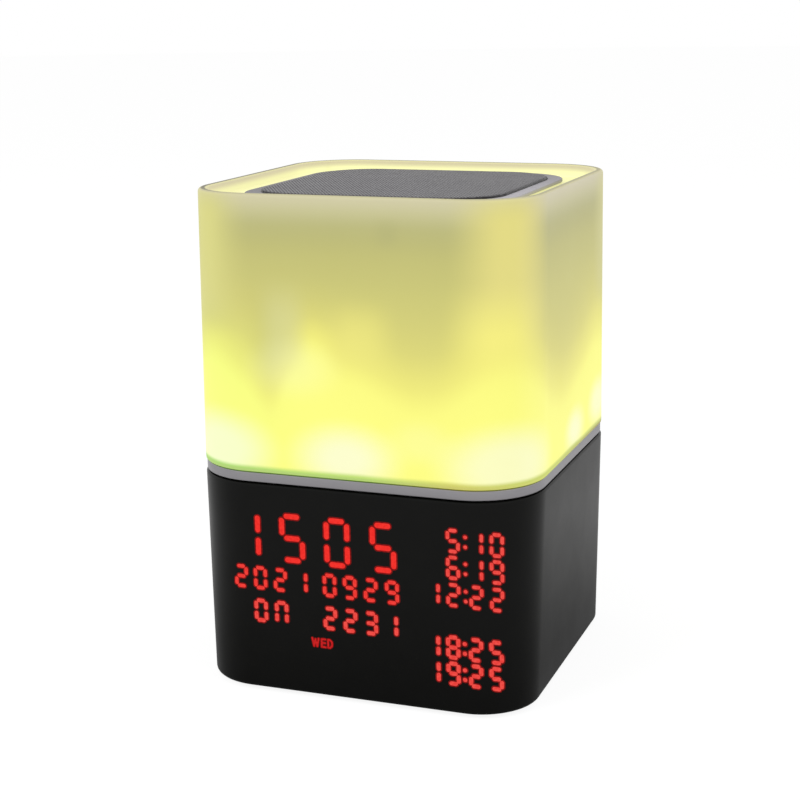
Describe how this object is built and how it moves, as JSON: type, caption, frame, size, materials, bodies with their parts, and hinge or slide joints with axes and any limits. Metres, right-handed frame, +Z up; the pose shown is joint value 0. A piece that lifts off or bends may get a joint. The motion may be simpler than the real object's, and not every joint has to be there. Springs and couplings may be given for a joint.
{
  "type": "alarm clock speaker",
  "caption": "Cube-shaped alarm clock speaker: black clock base with a seven-segment display, glowing diffuser above it and a grille over an upward-facing speaker.",
  "frame": {"origin": "on the table under the middle of the body, at the height of the feet's flat undersides", "axes": "+Z up; the display faces -Y, the sockets and buttons are on +Y"},
  "size_m": [0.1, 0.1, 0.1418],
  "materials": {
    "casing_black": "dead-front black plastic, satin to gloss",
    "cover_black": "fine spark texture",
    "foot_rubber": "matt",
    "screw_steel": "zinc plated",
    "ring_silver": "satin silver",
    "diffuser_glow": "translucent opal plastic, lit yellow from below",
    "bezel_grey": "satin light grey",
    "grille_metal": "perforated sheet, dark grey satin",
    "housing_white": "matt white",
    "plated_steel": "yellow zinc",
    "ferrite": "matt ferrite",
    "cone_paper": "black pulp",
    "coil_copper": "enamelled copper wire",
    "surround_rubber": "satin",
    "spider_cloth": "resin-treated cloth",
    "board_white": "white solder mask",
    "led_white": "lit lamp",
    "board_green": "green solder mask",
    "digit_block": "black potted block",
    "module_black": "black solder mask",
    "socket_steel": "nickel plated",
    "knob_black": "matt",
    "button_black": "satin",
    "cell_wrap": "shrink sleeve"
  },
  "bodies": {
    "root": {"base_casing": "casing_black", "bottom_cover": "cover_black", "foot_front_left": "foot_rubber", "foot_front_right": "foot_rubber", "foot_back_left": "foot_rubber", "foot_back_right": "foot_rubber", "cover_screw_front_left": "screw_steel", "cover_screw_front_right": "screw_steel", "cover_screw_back_left": "screw_steel", "cover_screw_back_right": "screw_steel", "trim_ring": "ring_silver", "diffuser": "diffuser_glow", "grille_bezel": "bezel_grey", "speaker_grille": "grille_metal", "deck_screw_front_left": "screw_steel", "deck_screw_front_right": "screw_steel", "deck_screw_back_left": "screw_steel", "deck_screw_back_right": "screw_steel", "speaker_housing": "housing_white", "driver_basket": "plated_steel", "driver_top_plate": "plated_steel", "driver_magnet": "ferrite", "driver_yoke": "plated_steel", "cone_surround": "surround_rubber", "cone_spider": "spider_cloth", "led_board": "board_white", "led_front_left": "led_white", "led_front": "led_white", "led_front_right": "led_white", "led_right": "led_white", "led_back_right": "led_white", "led_back": "led_white", "led_back_left": "led_white", "led_left": "led_white", "display_board": "board_green", "time_digits": "digit_block", "date_digits": "digit_block", "alarm_digits": "digit_block", "weekday_lamps": "digit_block", "side_digits": "digit_block", "main_board": "board_green", "wireless_module": "module_black", "usb_socket": "socket_steel", "power_socket": "socket_steel", "card_socket": "socket_steel", "audio_jack": "knob_black", "switch_body": "socket_steel", "battery_cell": "cell_wrap"},
    "cone": {"speaker_cone": "cone_paper", "dust_cap": "cone_paper", "voice_coil": "coil_copper"},
    "knob": {"switch_knob": "knob_black"},
    "light_key": {"light_button": "button_black"},
    "volume_down_key": {"volume_down_button": "button_black"},
    "play_key": {"play_button": "button_black"},
    "volume_up_key": {"volume_up_button": "button_black"},
    "mode_key": {"mode_button": "button_black"}
  },
  "joints": [
    {"name": "cone_travel", "type": "slide", "parent": "root", "child": "cone", "axis": [0, 0, 1], "range_m": [-0.0015, 0.0015], "stiffness_N_per_m": 1500, "deforming": ["cone_surround", "cone_spider"]},
    {"name": "power_slide", "type": "slide", "parent": "root", "child": "knob", "axis": [1, 0, 0], "range_m": [0, 0.0025]},
    {"name": "light_press", "type": "slide", "parent": "root", "child": "light_key", "axis": [0, -1, 0], "range_m": [0, 0.0008], "stiffness_N_per_m": 400},
    {"name": "volume_down_press", "type": "slide", "parent": "root", "child": "volume_down_key", "axis": [0, -1, 0], "range_m": [0, 0.0008], "stiffness_N_per_m": 400},
    {"name": "play_press", "type": "slide", "parent": "root", "child": "play_key", "axis": [0, -1, 0], "range_m": [0, 0.0008], "stiffness_N_per_m": 400},
    {"name": "volume_up_press", "type": "slide", "parent": "root", "child": "volume_up_key", "axis": [0, -1, 0], "range_m": [0, 0.0008], "stiffness_N_per_m": 400},
    {"name": "mode_press", "type": "slide", "parent": "root", "child": "mode_key", "axis": [0, -1, 0], "range_m": [0, 0.0008], "stiffness_N_per_m": 400}
  ]
}
